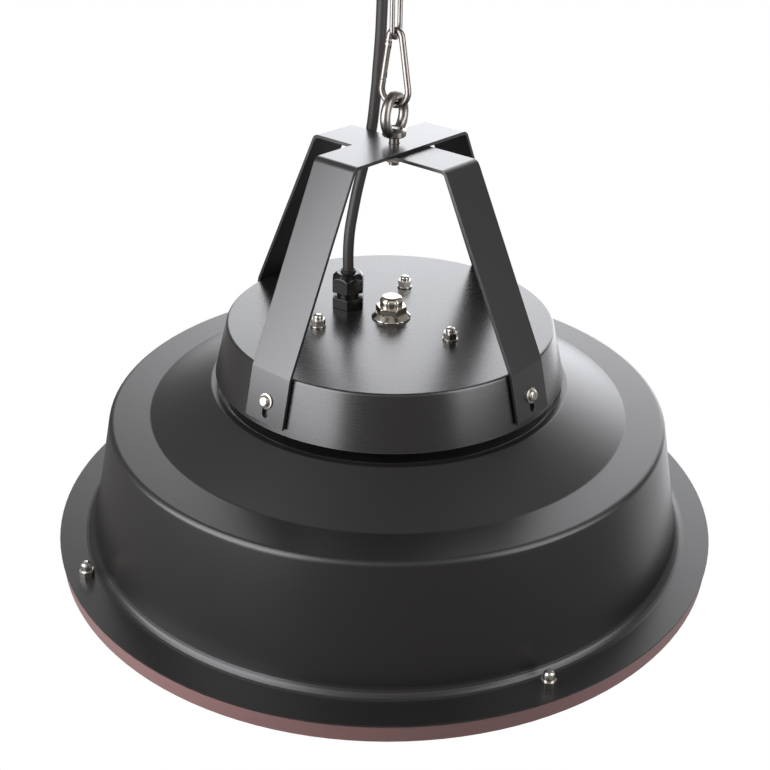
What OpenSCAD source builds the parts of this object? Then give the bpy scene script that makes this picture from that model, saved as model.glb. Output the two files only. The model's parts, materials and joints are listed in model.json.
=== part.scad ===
// Hanging patio heater: a spun steel bell with a ring lamp, hung from a ceiling fitting by a link and a snap hook.
// Millimetres, +Z up. X runs along the upper strap of the bracket, and the origin is where the fitting meets the
// ceiling, so the heater lies below it.

/* [Ceiling fitting] */
// Radius of the plate that is screwed to the ceiling
plate_r = 42; // [41:0.5:44]
// Thickness of that plate
plate_t = 3; // [2.5:0.5:4]
// Diameter of the circle that its screw holes lie on
plate_pcd = 64; // [60:1:66]
// Diameter of each screw hole
plate_hole_d = 5.5; // [4.5:0.5:6]
// Diameter of the hole that the wiring comes through
wire_hole_d = 14; // [10:1:14]
// Outer radius of the canopy
canopy_r = 48; // [46.5:0.5:54]
// Depth of the canopy below the ceiling
canopy_h = 24; // [22:1:28]
// Thickness of its sheet
canopy_t = 1.2; // [0.8:0.1:1.4]
// Wire diameter of the ceiling hook
hook_wire = 5; // [4:0.5:5]
// Inner radius of the ceiling hook
hook_in_r = 7; // [6.5:0.5:8]
// Depth from the ceiling to the middle of the hook's lowest wire
hook_drop = 66.8; // [64:0.1:72]
// Diameter of the hook's threaded shank
hook_thread_d = 6; // [5:0.5:6]

/* [Link and snap hook] */
// How far the hanging parts are turned round the vertical, seen from above
hang_turn = 12; // [8:1:14]
// Wire diameter of the chain link
link_wire = 3; // [2.5:0.5:3]
// Inner width of the chain link
link_in_w = 6; // [6:0.5:7]
// Inner length of the chain link
link_in_l = 26; // [24:1:30]
// Wire diameter of the snap hook
snap_wire = 4; // [4:0.2:4.4]
// Overall length of the snap hook
snap_l = 46; // [44:1:50]
// Overall width of the snap hook's wide end
snap_w = 21; // [20.5:0.5:23]
// Overall width of its narrow end
snap_top_w = 12; // [12:0.5:13]
// Diameter of the gate
gate_d = 3.8; // [3.6:0.1:3.9]
// Diameter of the gate's pin
gate_pin_d = 1.9; // [1.7:0.1:2]
// Thickness of the tongues at the gate's two ends
tongue_t = 1.3; // [1.1:0.1:1.4]
// Free height between parts that hang in each other
hang_gap = 0.3; // [0.2:0.05:0.4]

/* [Eye bolt] */
// Wire diameter of the eye
eye_wire = 6; // [5.5:0.1:6.4]
// Diameter of the hole in the eye
eye_in_d = 16; // [15:0.5:18]
// Diameter of the collar
eye_collar_d = 14; // [12:0.5:16]
// Height of the collar
eye_collar_h = 5; // [4:0.5:6]
// Diameter of the eye bolt's thread
eye_thread_d = 6; // [5:0.5:6]
// How far the collar stands above the bracket
eye_stand = 4.3; // [3:0.1:6]

/* [Bracket] */
// Width of the bracket's straps
strap_w = 30; // [24:1:32]
// Thickness of the straps
strap_t = 2; // [1.5:0.5:2.5]
// Half the flat length at the top of each strap
strap_flat = 50; // [46:1:54]
// Height of the bracket above the top of the housing
bracket_rise = 111.1; // [100:0.1:120]
// Inner radius of the bends in the straps
strap_bend_r = 3; // [2:0.5:5]
// How far the feet end above the housing's lower edge
foot_rise = 4.2; // [3:0.1:6]
// Depth of the foot screws below the top of the housing
foot_screw_drop = 16.6; // [14:0.1:18]
// Thread diameter of the foot screws
foot_thread_d = 4; // [3.5:0.5:4]
// Head diameter of the foot screws
foot_head_d = 9.4; // [8.6:0.1:10]
// Length of the slot below each foot screw
foot_slot_l = 8; // [6:0.5:9]

/* [Housing] */
// Radius of the top of the housing
disc_r = 101.3; // [99:0.1:103]
// Radius of its lower edge
base_r = 109.4; // [108:0.1:110.5]
// Height of the housing
housing_h = 32.8; // [30:0.1:36]
// Thickness of the housing's sheet
housing_t = 1.2; // [1:0.1:1.5]
// Distance from the axis to the three tie studs
tie_r = 47; // [44:1:50]
// Diameter of the tie studs
tie_d = 5; // [4:0.5:6]
// Height of the round caps on the nuts of the tie studs
tie_cap_h = 2.9; // [2:0.1:5]
// Diameter of the rod in the middle
rod_d = 10; // [8:0.5:10]
// Width across flats of the nuts on that rod
rod_nut_w = 17; // [16:0.5:19]
// Distance from the axis to the cable gland
gland_r = 32; // [31.5:0.5:32.5]
// Direction of the cable gland, seen from above
gland_a = 99; // [98:0.5:100]
// Thread diameter of the cable gland
gland_thread_d = 16; // [14:0.5:16]
// Width across flats of the gland
gland_w = 19; // [18:0.5:20]
// Height of the gland above the sheet that it goes through
gland_h = 22.6; // [22:0.1:25]
// Diameter of the supply cable
cable_d = 6.8; // [6.4:0.1:7]

/* [Bell] */
// Thickness of the bell's sheet
bell_t = 1.2; // [1:0.1:1.5]
// Height of the dark gap between the housing and the bell's lip
neck_gap = 6.8; // [5:0.1:9]
// How much further out the bell's lip is than the housing's lower edge
lip_step = 3.1; // [2:0.1:4.5]
// Depth of the flat inside the lip
lip_h = 4; // [3:0.1:5]
// Drop of the cone from the lip to the crease
cone_drop = 18; // [15:0.1:22]
// Drop of the shelf from the crease to the shoulder
shelf_drop = 0.7; // [0.3:0.1:2]
// Width of the shelf, from the crease to the shoulder
shelf_w = 24.9; // [20:0.1:28]
// How much further out the side wall ends than it starts
wall_flare = 15.3; // [12:0.1:18]
// Width of the flange, from the side wall to its edge
flange_w = 21.6; // [21:0.1:24]
// Outer radius of the flange
rim_r = 212.5; // [212:0.1:216]
// Height of the bell from the flange to the lip
bell_h = 95; // [90:0.5:105]

/* [Rim and guard] */
// Height of the rim below the top of the flange
rim_h = 12; // [12:0.1:14]
// Thickness of the rim's sheet
rim_t = 1.2; // [1:0.1:1.3]
// Width of the lip that the guard rests on
rim_lip_w = 8.5; // [8:0.1:10]
// Distance from the flange's edge in to the flange screws
rim_screw_in = 11.1; // [10.8:0.1:11.4]
// Direction of the first flange screw, seen from above
rim_screw_a = 66.7; // [64:0.1:72]
// Thread diameter of the flange screws
rim_thread_d = 5; // [4:0.5:5]
// Wire diameter of the guard's rings
guard_wire = 3.6; // [3:0.1:3.7]
// Wire diameter of the guard's spokes
spoke_wire = 3; // [2.4:0.1:3]
// Number of rings in the guard
guard_rings = 6; // [4:1:7]
// Number of spokes in the guard
guard_spokes = 12; // [8:4:16]
// Radius of the guard's middle plate
guard_hub_r = 22; // [18:1:26]

/* [Lamp and reflector] */
// Thickness of the reflector's sheet
reflector_t = 0.8; // [0.6:0.1:1]
// Radius of the lamp ring
lamp_r = 118; // [112:1:122]
// Diameter of the lamp's glass tube
lamp_d = 11; // [10:0.5:12]
// Wall of the glass tube
lamp_wall = 1.2; // [1:0.1:1.5]
// Height of the lamp above the bottom of the rim
lamp_z = 36; // [34:0.5:40]
// Angle that the gap between the lamp's ends takes up
lamp_gap = 22; // [20:1:26]
// Diameter of the ceramic end caps
cap_d = 14; // [13.5:0.5:16]
// Diameter of the heater coil in the tube
coil_d = 2; // [1.5:0.1:2.5]
// Distance from the rim's edge in to the edge of the heat shield
shield_in = 62.5; // [60:0.5:72]

/* [Hidden] */
$fn = 72;
// Clearances: sheet on sheet in one body, a pin in its bore, a shank in its hole, and parts that pass each other
seat = 0.1;
pin_play = 0.08;
hole_play = 0.3;
side_gap = 0.3;
// How far one round face stands back from the next where they run into each other, and how deep it goes in
blend_step = 0.05;
blend_in = 0.3;
// Steps that each rounded corner of a spun profile is drawn with
bend_steps = 6;
// How far a cutting body runs past the face that it cuts, how deep joined bodies run into each other, and half the
// height of the bodies that drill through sheets
past = 1;
into = 0.5;
drill_h = 5;

// Heights of the hanging parts, from the ceiling down
hook_z = -hook_drop;
link_top_z = hook_z + (hook_wire + link_wire) / 2 + hang_gap;
link_low_z = link_top_z - link_in_l - link_wire;
snap_top_z = link_low_z + (link_wire + snap_wire) / 2 + hang_gap;
snap_low_z = snap_top_z - snap_l + snap_wire;
eye_top_z = snap_low_z + (snap_wire + eye_wire) / 2 + hang_gap;
eye_z = eye_top_z - (eye_in_d + eye_wire) / 2;
collar_sink = 1.4;
collar_z = eye_z - eye_in_d / 2 - eye_wire + collar_sink;
strap_z = collar_z - eye_stand;

// Heights of the heater, from the bracket down
disc_z = strap_z - bracket_rise;
base_z = disc_z - housing_h;
lip_z = base_z - neck_gap;
pan_z = lip_z - lip_h;
flange_z = lip_z - bell_h;
low_z = flange_z - rim_h;

// Radii of the bell, from the rim's edge in, and of what goes by them
wall_r = rim_r - flange_w;
shoulder_r = wall_r - wall_flare;
crease_r = shoulder_r - shelf_w;
lip_r = base_r + lip_step;
lip_top_w = 4.5;
lip_rise_w = 2.5;
lip_bend_r = 2;
lip_edge_r = 2.5;
crease_z = lip_z - cone_drop;
crease_bend_r = 3;
shoulder_z = crease_z - shelf_drop;
shoulder_bend_r = 3.5;
foot_bend_r = 6.8;
rim_screw_r = rim_r - rim_screw_in;
shield_r = rim_r - shield_in;
shield_skirt_w = 6;
shield_skirt_h = 7;
shield_bend_r = 4;

// Housing side: its slope, and the radius of its outer face at a height
side_a = atan((base_r - disc_r) / housing_h);
function side_r(z) = disc_r + (disc_z - z) * tan(side_a);
foot_screw_z = disc_z - foot_screw_drop;

// Housing base plate, which lies inside the skirt a little above its edge
plate_rise = 3.4;
base_plate_z = base_z + plate_rise;
base_plate_t = 1.2;
base_skirt_h = 5;
base_skirt_lean = 0.6;
base_bend_r = 2;
housing_bend_r = 1.8;
knee_rise = 0.8;
base_plate_r = side_r(base_plate_z) - housing_t / cos(side_a) - side_gap;

// Heights of the reflector's dish, of its wall's upper edge, of its trough and of the heat shield above the lamp
lamp_mid_z = low_z + lamp_z;
wall_top_z = lamp_mid_z + 6;
dish_z = lamp_mid_z + 16;
trough_z = lamp_mid_z + 30;
shield_z = lamp_mid_z + 44;
shield_t = 0.8;
// Radii of the reflector: the dish, the two edges of the trough, the upper edge of the wall and its foot
dish_r = lamp_r - 46;
trough_in_r = lamp_r - 22;
trough_out_r = lamp_r + 18;
wall_top_r = rim_r - 38.5;
wall_foot_r = wall_r - 4.4;
dish_bend_r = 8;
trough_in_bend_r = 10;
trough_out_bend_r = 12;
wall_bend_r = 14;
wall_foot_bend_r = 3;

// Ceiling fitting: the plate's boss, the canopy's bend, the hook's neck and tip, and the gland in the canopy
plate_angles = [0, 120, 240];
boss_h = 8;
boss_wall = 4;
canopy_bend_r = 4;
canopy_nut_h = 5;
canopy_nut_w = 10;
hook_neck_h = 4;
hook_tip_a = 25;
top_gland_h = 7;
top_gland_r = 8.5;
top_gland_tip_r = 5.4;
top_gland_w = 15;
top_gland_hex_h = 3;

// Eye bolt: its collar's edge, the end of its shank, its washer and its nut
collar_edge = 0.6;
collar_cone_h = 1.6;
shank_end = 2.5;
eye_washer_r = 6.2;
eye_washer_t = 1.2;
eye_nut_h = 5;
eye_nut_w = 10;
washer_play = 0.2;

// Share of a nut's corners that is turned off, and share of a screw head's height and width where its dome starts
nut_chamfer = 0.6;
head_dome = 0.7;

// Tie studs, nuts and washers
tie_angles = [30, 150, 270];
tie_nut_w = 8;
tie_nut_h = 4;
tie_washer_r = 4.7;
tie_washer_t = 1;
tie_spacer_r = 4.5;
tie_cap_r = 2.9;
tie_cap_bend_r = 1.8;
tie_end = 2;

// Middle rod
rod_washer_r = 12.2;
rod_washer_t = 1.5;
rod_hex_h = 6;
rod_spacer_r = 8;
rod_end = 3;
// Flange and dome nut on top of it
cap_flange_h = 3.4;
cap_flange_edge = 0.8;
cap_flange_top_r = 9.4;
cap_hex_h = 4.4;
cap_dome_r = 7.1;
cap_dome_h = 6.2;
cap_dome_bend_r = 3.2;

// Foot screws
foot_rim_h = 0.9;
foot_neck_r = 3.5;
foot_head_h = 3.2;
foot_shank_l = 7;
foot_play = 0.15;
foot_nut_w = 7;
foot_nut_h = 3.2;

// Rim screws and the clips that hold the guard
rim_wall_z = flange_z - bell_t;
rim_top_z = rim_wall_z - reflector_t - rim_t;
clip_t = 1.2;
clip_w = 12;
rim_head_h = 2.3;
rim_head_r = 4.6;
rim_nut_w = 8;
rim_nut_h = 4.5;
rim_cap_r = 3.3;
rim_cap_h = 5.5;
rim_cap_bend_r = 2.6;
rim_out = rim_r - 0.2;
rim_taper = 0.8;
rim_flange_in = 4;
clip_back = 6;
clip_past = 2;
clip_foot_w = 1.7;
clip_edge = 0.2;

// Guard
spoke_weld = 0.6;
guard_z = low_z + rim_t + guard_wire / 2 + seat;
guard_r = rim_r - rim_lip_w + clip_past;
spoke_z = guard_z + guard_wire / 2 + spoke_wire / 2 - spoke_weld;
hub_wire_r = guard_hub_r - guard_wire / 2;
guard_hub_t = 1.2;
spoke_in = 6;

// Glands: the hexagon on the sheet, the groove above it, and the dome nut
gland_hex_h = 7;
gland_groove_h = 3.4;
gland_groove_r = 6.9;
gland_neck_r = 6.4;
gland_neck_h = 7;
gland_roof = 3;
gland_roof_r = 7.4;
gland_roof_bend_r = 1.5;
gland_bend_r = 3;
gland_skirt_h = 8.4;
gland_tail = 8;
locknut_h = 4;
locknut_w = 20;
cable_r = cable_d / 2;
cable_hole_r = cable_r + 0.2;
gland_lip_r = cable_hole_r + 0.9;
gland_lip_h = 1.4;
gland_x = gland_r * cos(gland_a);
gland_y = gland_r * sin(gland_a);

// Lamp
lamp_elbow_r = 12;
lamp_half_gap = lamp_gap / 2;
// Angle that each elbow takes from the ring, and the place of the ring's two upright ends
lamp_turn = lamp_elbow_r / lamp_r * 180 / PI;
lamp_end_a = lamp_half_gap + lamp_turn;
lamp_end_x = lamp_r * cos(lamp_end_a) + lamp_elbow_r * sin(lamp_end_a);
lamp_end_y = lamp_r * sin(lamp_end_a) - lamp_elbow_r * cos(lamp_end_a);
cap_low_z = trough_z - 9;
cap_top_z = trough_z + 11;
cap_bore_h = 6;
cap_collar_r = cap_d / 2 + 2.5;
cap_collar_h = 3;
clip_angles = [90, 180, 270];
lamp_clip_w = 8;
lamp_clip_t = 1;
lamp_clip_play = 0.2;
lamp_stem_r = 2;
lamp_foot_r = 6;
coil_start_a = 2;
support_step = 28;
support_r = lamp_d / 2 - lamp_wall - seat;
support_t = 0.8;
lead_r = 1.3;
lead_play = 0.6;

// Terminal block on the base plate, and where its two lamp leads and the earth screw are
block_x = 28;
block_y = -14;
block_l = 34;
block_w = 18;
block_h = 15;
block_pitch = 11;
well_r = 2.6;
well_h = 5;
pole_screw_r = 2.2;
pole_screw_d = 2.5;
pole_screw_h = 3.4;
pole_slot_w = 0.8;
mouth_rise = 6;
mouth_l = 4.5;
earth_x = -24;
earth_y = -22;
earth_d = 4;
earth_head_h = 2.6;
earth_end = 6;
earth_nut_w = 7;
earth_nut_h = 3.2;
// Offsets and lengths of the runs that the cores and the leads take
core_step = 1.6;
core_back = 5;
core_lift = 3;
core_run = 16;
core_lead = 12;
lead_rise_x = 62;
lead_rise_y = 8;
lead_lift = 6;
lead_run_rise = 9;
lead_run_out = 8;
lead_run_gap = 2;
cap_seat = 2;

// Route of the supply cable: chosen points on its middle line, from inside the housing to inside the canopy
CABLE_LOWER = [[-5, 31.6, -275], [-5, 31.6, -262], [-5, 31.6, -250], [-5, 31.6, -238], [-4.6, 32, -230],
    [-3.4, 32.6, -221.5], [-1.2, 33.4, -213], [2.4, 34.3, -203.5], [6.6, 35.2, -193], [11, 35.7, -182.5],
    [14.8, 35.7, -172.5], [17.8, 35.2, -162.5], [19.4, 34.4, -153], [19.8, 33.3, -143.5],
    [19.6, 31.9, -134], [19.2, 30.6, -126], [18.8, 29.6, -118]];
CABLE_MIDDLE = [[18.8, 29.6, -118], [18.2, 28, -107], [17.6, 26.6, -96], [17.2, 25.7, -85], [16.8, 25, -75]];
CABLE_UPPER = [[16.8, 25, -75], [16.5, 24.5, -65], [16.2, 24.2, -55], [16, 24, -45], [16, 24, -35],
    [16, 24, -25], [16, 24, -12]];
cable_sides = 12;
cable_top_x = 16;
cable_top_y = 24;

// Directions and small vector helpers
function unit(v) = v / norm(v);
function left_of(v) = [-v[1], v[0]];
function flat(p) = [p[0], p[1]];
function reversed(v) = [for (i = [len(v) - 1 : -1 : 0]) v[i]];

// The points that round the corner q between p and s with radius r
function bend(p, q, s, r) =
    let (a = unit(p - q), b = unit(s - q), half = acos(a * b) / 2,
         middle = q + unit(a + b) * r / sin(half), from = q + a * r / tan(half) - middle,
         turn = (180 - 2 * half) * (cross(a, b) > 0 ? -1 : 1))
    [for (i = [0 : bend_steps]) let (t = turn * i / bend_steps)
        middle + [from[0] * cos(t) - from[1] * sin(t), from[0] * sin(t) + from[1] * cos(t)]];

// A path of [x, y, corner radius] with its corners rounded
function rounded(path) = [for (i = [0 : len(path) - 1])
    each (i == 0 || i == len(path) - 1 || path[i][2] == 0) ? [flat(path[i])]
        : bend(flat(path[i - 1]), flat(path[i]), flat(path[i + 1]), path[i][2])];

// The same line moved sideways by t, to the left of its run
function shifted(line, t) = [for (i = [0 : len(line) - 1])
    let (k = max(i, 1), j = min(i, len(line) - 2), n = left_of(unit(line[k] - line[k - 1]))
        + left_of(unit(line[j + 1] - line[j])))
    line[i] + n * 2 * t / (n * n)];

// The section of a sheet of thickness t that lies to the right of a path
module sheet(path, t) {
    line = rounded(path);
    polygon(concat(line, reversed(shifted(line, -t))));
}

module spun(path, t) {
    rotate_extrude() sheet(path, t);
}

// A round bar from p to q
module rod(p, q, r) {
    d = q - p;
    translate(p) rotate([0, acos(d[2] / norm(d)), atan2(d[1], d[0])]) cylinder(r = r, h = norm(d));
}

// A chain of round bars with round joints, which are a little larger so that their faces don't coincide
module bars(points, r) {
    for (i = [1 : len(points) - 1]) rod(points[i - 1], points[i], r);
    for (i = [1 : len(points) - 2]) translate(points[i]) sphere(r = r + blend_step);
}

// A bent wire in the XZ plane, from one angle to another
module wire_arc(mid_r, wire_r, from, to) {
    rotate([90, 0, 0]) rotate([0, 0, from]) rotate_extrude(angle = to - from) translate([mid_r, 0]) circle(r = wire_r);
}

module hexagon(w, h) {
    cylinder(r = w / 2 / cos(30), h = h, $fn = 6);
}

// A nut with its edges turned off, standing on z = 0
module nut(w, h, bore_r) {
    chamfer = w / 2 * (1 / cos(30) - 1) * nut_chamfer;
    difference() {
        intersection() {
            hexagon(w, h);
            cylinder(r1 = w / 2 / cos(30) + h, r2 = w / 2 / cos(30) - chamfer, h = h);
        }
        translate([0, 0, -past]) cylinder(r = bore_r, h = h + 2 * past);
    }
}

// A nut with a round cap on it, bored from below to the top of its hexagon
module dome_nut(w, hex_h, cap_r, cap_h, cap_bend_r, bore_r) {
    difference() {
        union() {
            nut(w, hex_h, bore_r / 2);
            translate([0, 0, hex_h - into]) rotate_extrude() polygon(concat([[0, 0]],
                rounded([[0, cap_h + into, 0], [cap_r, cap_h + into, cap_bend_r], [cap_r, 0, 0]])));
        }
        translate([0, 0, -past]) cylinder(r = bore_r, h = hex_h + seat + past);
    }
}

module washer(r, t, bore_r) {
    difference() {
        cylinder(r = r, h = t);
        translate([0, 0, -past]) cylinder(r = bore_r, h = t + 2 * past);
    }
}

// A body that drills a hole of radius r through a sheet at height z
module drill(r, z) {
    translate([0, 0, z - drill_h]) cylinder(r = r, h = 2 * drill_h);
}

module around(angles, r) {
    for (a = angles) rotate([0, 0, a]) translate([r, 0, 0]) children();
}

// Axes of a foot's face: X down the slope, Z outwards, at the foot screw
module at_feet() {
    for (k = [0 : 3]) rotate([0, 0, 90 * k]) translate([side_r(foot_screw_z), 0, foot_screw_z])
        rotate([0, 90 - side_a, 0]) children();
}

module at_rim_screws() {
    for (k = [0 : 3]) rotate([0, 0, rim_screw_a + 90 * k]) translate([rim_screw_r, 0, 0]) children();
}

// A tube of many sides that follows the route from a to b, and ends square to the way on to its neighbours there
module tube(route, a, b, r, sides) {
    n = len(route);
    ways = [for (i = [0 : n - 1]) unit((i == n - 1 ? b : route[i + 1]) - (i == 0 ? a : route[i - 1]))];
    rings = [for (i = [0 : n - 1]) let (u = unit(cross(ways[i], [0, 1, 0])), v = cross(ways[i], u))
        for (s = [0 : sides - 1]) route[i] + r * (cos(360 * s / sides) * u + sin(360 * s / sides) * v)];
    walls = [for (i = [0 : n - 2]) for (s = [0 : sides - 1]) let (j = i * sides + s,
        k = i * sides + (s + 1) % sides) each [[j, j + sides, k], [k, j + sides, k + sides]]];
    polyhedron(rings, concat([[for (s = [0 : sides - 1]) s]],
        [[for (s = [sides - 1 : -1 : 0]) (n - 1) * sides + s]], walls));
}

// Ceiling fitting
module at_cable_top(z) {
    translate([cable_top_x, cable_top_y, z]) children();
}

module ceiling_plate() color("dimgray") difference() {
    union() {
        translate([0, 0, -plate_t]) cylinder(r = plate_r, h = plate_t);
        translate([0, 0, -plate_t - boss_h]) cylinder(r = hook_thread_d / 2 + boss_wall, h = boss_h + into);
    }
    around(plate_angles, plate_pcd / 2) drill(plate_hole_d / 2, -plate_t);
    translate([0, 0, -plate_t - boss_h - past]) cylinder(r = hook_thread_d / 2 + pin_play, h = plate_t + boss_h);
    at_cable_top(0) drill(wire_hole_d / 2, -plate_t);
}

module ceiling_canopy() color([0.16, 0.16, 0.17]) difference() {
    spun([[0, -canopy_h, 0], [canopy_r, -canopy_h, canopy_bend_r], [canopy_r, -seat, 0]], -canopy_t);
    drill(hook_thread_d / 2 + hole_play, -canopy_h);
    at_cable_top(0) drill(gland_neck_r + hole_play, -canopy_h);
}

module ceiling_hook() color("silver") rotate([0, 0, 90 + hang_turn]) {
    mid_r = hook_in_r + hook_wire / 2;
    middle_z = hook_z + mid_r;
    thread_z = middle_z + mid_r + hook_neck_h;
    translate([0, 0, middle_z]) {
        wire_arc(mid_r, hook_wire / 2, 90, 360 + hook_tip_a);
        translate([mid_r * cos(hook_tip_a), 0, mid_r * sin(hook_tip_a)]) sphere(r = hook_wire / 2 + blend_step);
        translate([0, 0, mid_r]) sphere(r = hook_wire / 2 + blend_step);
        translate([0, 0, mid_r]) cylinder(r = hook_wire / 2, h = hook_neck_h + into);
    }
    translate([0, 0, thread_z]) cylinder(r = hook_thread_d / 2, h = -thread_z - past - side_gap);
}

module canopy_nut() color("silver") translate([0, 0, -canopy_h - canopy_nut_h])
    nut(canopy_nut_w, canopy_nut_h, hook_thread_d / 2 + pin_play);

// Gland in the canopy: a dome below the sheet, a neck through it and a hexagon above it
module canopy_gland() color([0.1, 0.1, 0.1]) at_cable_top(-canopy_h) difference() {
    union() {
        rotate_extrude() polygon([[0, -top_gland_h], [top_gland_tip_r, -top_gland_h],
            [top_gland_r, -top_gland_h / 2], [top_gland_r, 0], [0, 0]]);
        cylinder(r = gland_neck_r, h = top_gland_h);
        translate([0, 0, canopy_t + seat]) hexagon(top_gland_w, top_gland_hex_h);
    }
    translate([0, 0, -top_gland_h - past]) cylinder(r = cable_hole_r, h = 2 * top_gland_h + 2 * past);
}

// Hanging parts
module chain_link() color("silver") rotate([0, 0, hang_turn]) {
    mid_r = (link_in_w + link_wire) / 2;
    wire_r = link_wire / 2;
    translate([0, 0, link_top_z - mid_r]) wire_arc(mid_r, wire_r, 0, 180);
    translate([0, 0, link_low_z + mid_r]) wire_arc(mid_r, wire_r, 180, 360);
    for (side = [-1, 1]) rod([side * mid_r, 0, link_low_z + mid_r], [side * mid_r, 0, link_top_z - mid_r], wire_r);
}

// Snap hook: a pear of wire in its own plane. Its limbs touch the arcs at angle snap_a above their middles.
snap_wire_r = snap_wire / 2;
snap_low_r = (snap_w - snap_wire) / 2;
snap_top_r = (snap_top_w - snap_wire) / 2;
snap_low_mid_z = snap_low_z + snap_low_r;
snap_top_mid_z = snap_top_z - snap_top_r;
snap_a = asin((snap_low_r - snap_top_r) / (snap_top_mid_z - snap_low_mid_z));
limb_l = (snap_top_mid_z - snap_low_mid_z) * cos(snap_a);
limb_foot = [snap_low_r * cos(snap_a), 0, snap_low_mid_z + snap_low_r * sin(snap_a)];
nose_l = 4;
nose_tongue_l = 2.8;
tongue_w = 2.4;
tongue_eye_r = 1.6;
hinge_drop = 4.6;
hinge_l = limb_l - hinge_drop;
hinge_eye_r = 1.9;
hinge_room = 0.8;
hinge_top = hinge_l + hinge_eye_r + hinge_room;
pin_grip = 0.02;

// Axes of the gate's limb: Z runs up the limb from the lower arc, Y is across the hook's plane
module at_limb() {
    rotate([0, 0, 90 + hang_turn]) translate(limb_foot) rotate([0, -snap_a, 0]) children();
}

module snap_hook() color("silver") {
    rotate([0, 0, 90 + hang_turn]) {
        translate([0, 0, snap_low_mid_z]) wire_arc(snap_low_r, snap_wire_r, 180 - snap_a, 360 + snap_a);
        translate([0, 0, snap_top_mid_z]) wire_arc(snap_top_r, snap_wire_r, snap_a, 180 - snap_a);
        translate([-limb_foot[0], 0, limb_foot[2]]) rotate([0, snap_a, 0]) translate([0, 0, -blend_in])
            cylinder(r = snap_wire_r - blend_step, h = limb_l + 2 * blend_in);
    }
    at_limb() {
        translate([0, 0, -blend_in]) cylinder(r = snap_wire_r - blend_step, h = nose_l + blend_in);
        translate([-tongue_w / 2, -tongue_t / 2, nose_l - blend_in])
            cube([tongue_w, tongue_t, nose_tongue_l + blend_in]);
        translate([0, 0, hinge_top]) cylinder(r = snap_wire_r - blend_step, h = limb_l - hinge_top + blend_in);
        difference() {
            union() {
                translate([0, tongue_t / 2, hinge_l]) rotate([90, 0, 0]) cylinder(r = tongue_eye_r, h = tongue_t);
                translate([-tongue_w / 2, -tongue_t / 2, hinge_l]) cube([tongue_w, tongue_t, hinge_eye_r + past]);
            }
            translate([0, tongue_t, hinge_l]) rotate([90, 0, 0])
                cylinder(r = gate_pin_d / 2 + pin_play, h = 2 * tongue_t);
        }
    }
}

module hook_gate() color("lightgray") at_limb() {
    slot_w = tongue_t + 2 * side_gap;
    gate_r = gate_d / 2;
    foot = nose_l + side_gap;
    top_slot_z = hinge_l - hinge_eye_r - 2 * side_gap;
    difference() {
        union() {
            translate([0, 0, foot]) cylinder(r = gate_r, h = hinge_l - foot);
            intersection() {
                translate([0, 0, hinge_l - past]) cylinder(r = gate_r, h = hinge_eye_r + 2 * past);
                translate([0, gate_r, hinge_l]) rotate([90, 0, 0]) cylinder(r = hinge_eye_r, h = gate_d);
            }
        }
        translate([-gate_d, -slot_w / 2, foot - past]) cube([2 * gate_d, slot_w, nose_tongue_l + 2 * past]);
        translate([-gate_d, -slot_w / 2, top_slot_z]) cube([2 * gate_d, slot_w, 3 * hinge_eye_r]);
        translate([0, gate_d, hinge_l]) rotate([90, 0, 0]) cylinder(r = gate_pin_d / 2 + pin_grip, h = 2 * gate_d);
    }
}

module gate_pin() color("silver") at_limb()
    translate([0, gate_d / 2, hinge_l]) rotate([90, 0, 0]) cylinder(r = gate_pin_d / 2, h = gate_d);

module eye_bolt() color("silver") rotate([0, 0, hang_turn]) {
    mid_r = (eye_in_d + eye_wire) / 2;
    collar_r = eye_collar_d / 2;
    shank_low_z = strap_z - 2 * strap_t - eye_washer_t - eye_nut_h - shank_end;
    difference() {
        union() {
            translate([0, 0, eye_z]) rotate([90, 0, 0]) rotate_extrude() translate([mid_r, 0]) circle(r = eye_wire / 2);
            translate([0, 0, collar_z]) rotate_extrude() polygon([[0, 0], [collar_r - collar_edge, 0],
                [collar_r, collar_edge], [collar_r, eye_collar_h - collar_cone_h], [eye_wire / 2, eye_collar_h + past],
                [0, eye_collar_h + past]]);
        }
        translate([0, 0, eye_z]) rotate([90, 0, 0]) translate([0, 0, -eye_wire])
            cylinder(r = eye_in_d / 2, h = 2 * eye_wire);
    }
    translate([0, 0, shank_low_z]) cylinder(r = eye_thread_d / 2, h = collar_z - shank_low_z + into);
}

// Bracket
module eye_washer() color("silver") translate([0, 0, strap_z - 2 * strap_t - eye_washer_t])
    washer(eye_washer_r, eye_washer_t, eye_thread_d / 2 + washer_play);

module eye_nut() color("silver") translate([0, 0, strap_z - 2 * strap_t - eye_washer_t - eye_nut_h])
    nut(eye_nut_w, eye_nut_h, eye_thread_d / 2 + pin_play);

// Outer line of a strap whose top is at height z: up one leg, over the flat and down the other leg
function strap_line(z) =
    let (foot_z = base_z + foot_rise, knee_z = disc_z + knee_rise, out = (strap_t + seat) / cos(side_a),
         r = strap_bend_r + strap_t)
    [[-side_r(foot_z) - out, foot_z, 0], [-side_r(knee_z) - out, knee_z, r], [-strap_flat, z, r],
     [strap_flat, z, r], [side_r(knee_z) + out, knee_z, r], [side_r(foot_z) + out, foot_z, 0]];

module strap(z) difference() {
    rotate([90, 0, 0]) linear_extrude(strap_w, center = true) sheet(strap_line(z), strap_t);
    translate([0, 0, z - 2 * strap_t]) cylinder(r = eye_thread_d / 2 + hole_play, h = 3 * strap_t);
    at_feet() {
        slot_r = foot_thread_d / 2 + foot_play;
        for (x = [0, foot_slot_l]) translate([x, 0, -past]) cylinder(r = slot_r, h = strap_t + 3 * past);
        translate([0, -slot_r, -past]) cube([foot_slot_l, 2 * slot_r, strap_t + 3 * past]);
    }
}

module strap_upper() color([0.17, 0.17, 0.18]) strap(strap_z);

module strap_lower() color([0.17, 0.17, 0.18]) rotate([0, 0, 90]) strap(strap_z - strap_t);

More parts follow.
